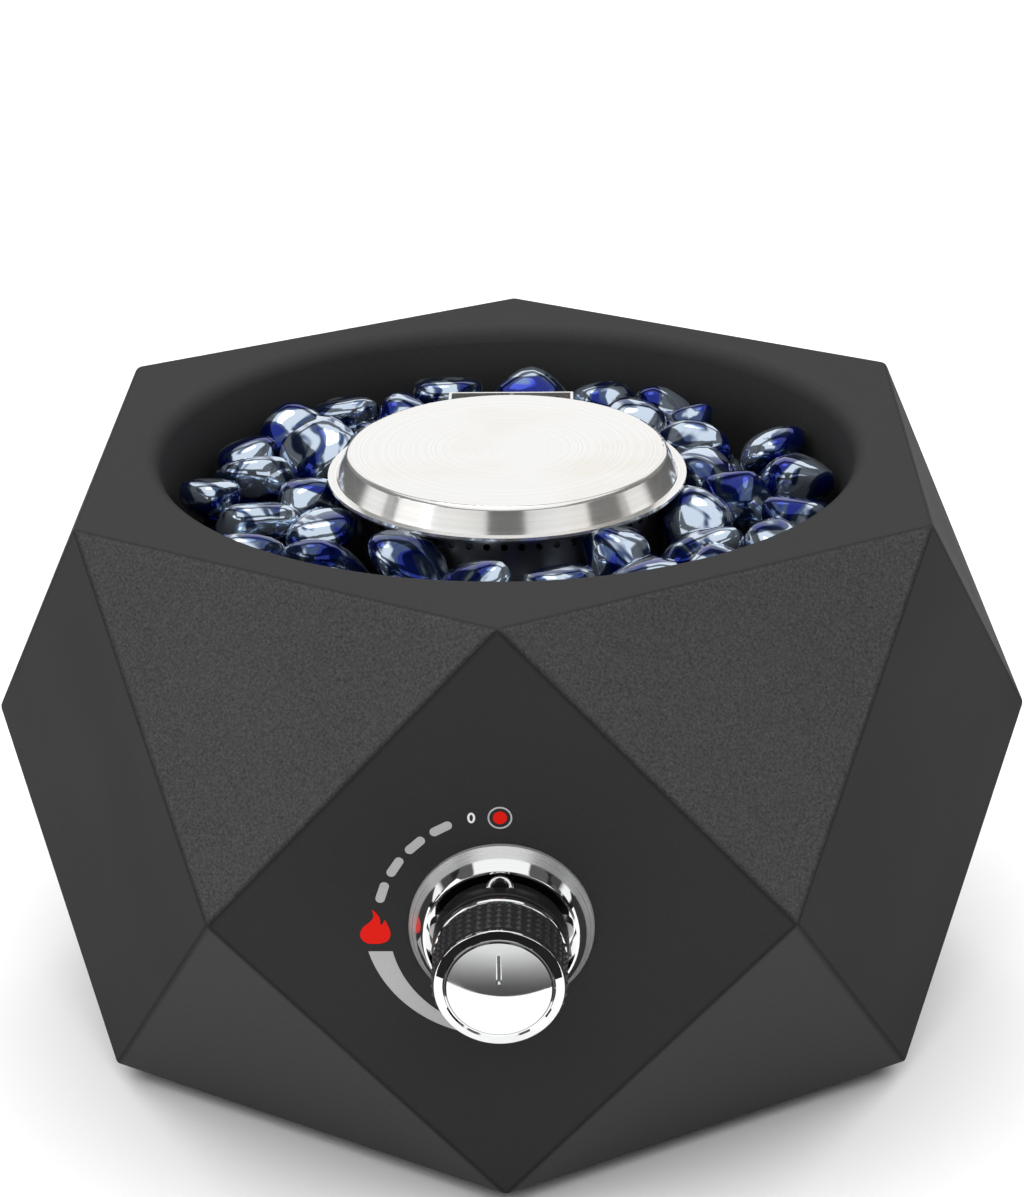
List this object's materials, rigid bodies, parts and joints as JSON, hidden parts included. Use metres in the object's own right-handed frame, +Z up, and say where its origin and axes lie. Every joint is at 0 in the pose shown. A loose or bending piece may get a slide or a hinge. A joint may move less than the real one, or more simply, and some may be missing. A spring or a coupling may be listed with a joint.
{
  "type": "gas fire pit",
  "caption": "Tabletop gas fire pit: faceted dark steel body, round fire bowl with blue fire glass around a stainless burner, push-and-turn knob on the front face.",
  "frame": {"origin": "on the table, under the vertical axis of the faceted body", "axes": "+Z up, -Y to the front (the face with the knob), +Y to the rear (the gas inlet), +X to the right as seen from the front"},
  "size_m": [0.3594, 0.3848, 0.2045],
  "materials": {
    "body_paint": "dark grey powder coat with a fine sandy texture",
    "stainless": "satin stainless sheet",
    "steel_tube": "plain mild steel",
    "zinc_screw": "bright zinc plate",
    "cast_alloy": "die-cast, as cast",
    "brass": "machined brass",
    "pipe_alloy": "drawn tube",
    "chrome": "polished chrome plate",
    "black_plastic": "moulded black",
    "black_rubber": "matt black",
    "ceramic": "plain white ceramic",
    "fire_glass": "glossy tumbled cobalt glass"
  },
  "bodies": {
    "body": {"base_plate": "body_paint", "base_screws": "zinc_screw", "bezel": "chrome", "body_shell": "body_paint", "bowl_deck": "body_paint", "burner_drum": "stainless", "burner_lid": "stainless", "burner_locknut": "steel_tube", "electrode_clip": "zinc_screw", "electrode_insulator": "ceramic", "electrode_rod": "stainless", "fire_glass_lower": "fire_glass", "fire_glass_upper": "fire_glass", "gas_inlet": "brass", "gas_jet": "brass", "gas_pipe": "pipe_alloy", "guard_rivets": "zinc_screw", "igniter_guard": "stainless", "igniter_screw": "zinc_screw", "igniter_wire": "black_rubber", "inlet_locknut": "brass", "inlet_pipe": "pipe_alloy", "jet_holder": "brass", "mixing_tube": "steel_tube", "piezo_igniter": "black_plastic", "pipe_nuts": "brass", "rubber_foot_1": "black_rubber", "rubber_foot_2": "black_rubber", "rubber_foot_3": "black_rubber", "rubber_foot_4": "black_rubber", "rubber_foot_5": "black_rubber", "rubber_foot_6": "black_rubber", "stem_spring": "zinc_screw", "valve_body": "cast_alloy", "valve_bonnet": "zinc_screw", "valve_screws": "zinc_screw"},
    "spring_seat": {"thrust_washer": "zinc_screw"},
    "knob": {"valve_stem": "brass", "knob_core": "black_plastic", "knob_ring": "chrome", "knob_grip": "black_rubber", "knob_cap": "chrome"},
    "plug": {"valve_plug": "brass"}
  },
  "joints": [
    {"name": "knob_push", "type": "slide", "parent": "body", "child": "spring_seat", "axis": [0, 1, 0], "range_m": [0, 0.004], "stiffness_N_per_m": 1500, "springref_m": -0.004, "deforming": ["stem_spring"]},
    {"name": "knob_turn", "type": "hinge", "parent": "spring_seat", "child": "knob", "pos_m": [0, -0.15588, 0.1055], "axis": [0, -1, 0], "range_deg": [0, 150]},
    {"name": "plug_turn", "type": "hinge", "parent": "body", "child": "plug", "pos_m": [0, -0.13238, 0.1055], "axis": [0, -1, 0], "range_deg": [0, 150]}
  ],
  "couplings": [
    {"joint": "plug_turn", "follows": "knob_turn", "ratio": 1}
  ]
}
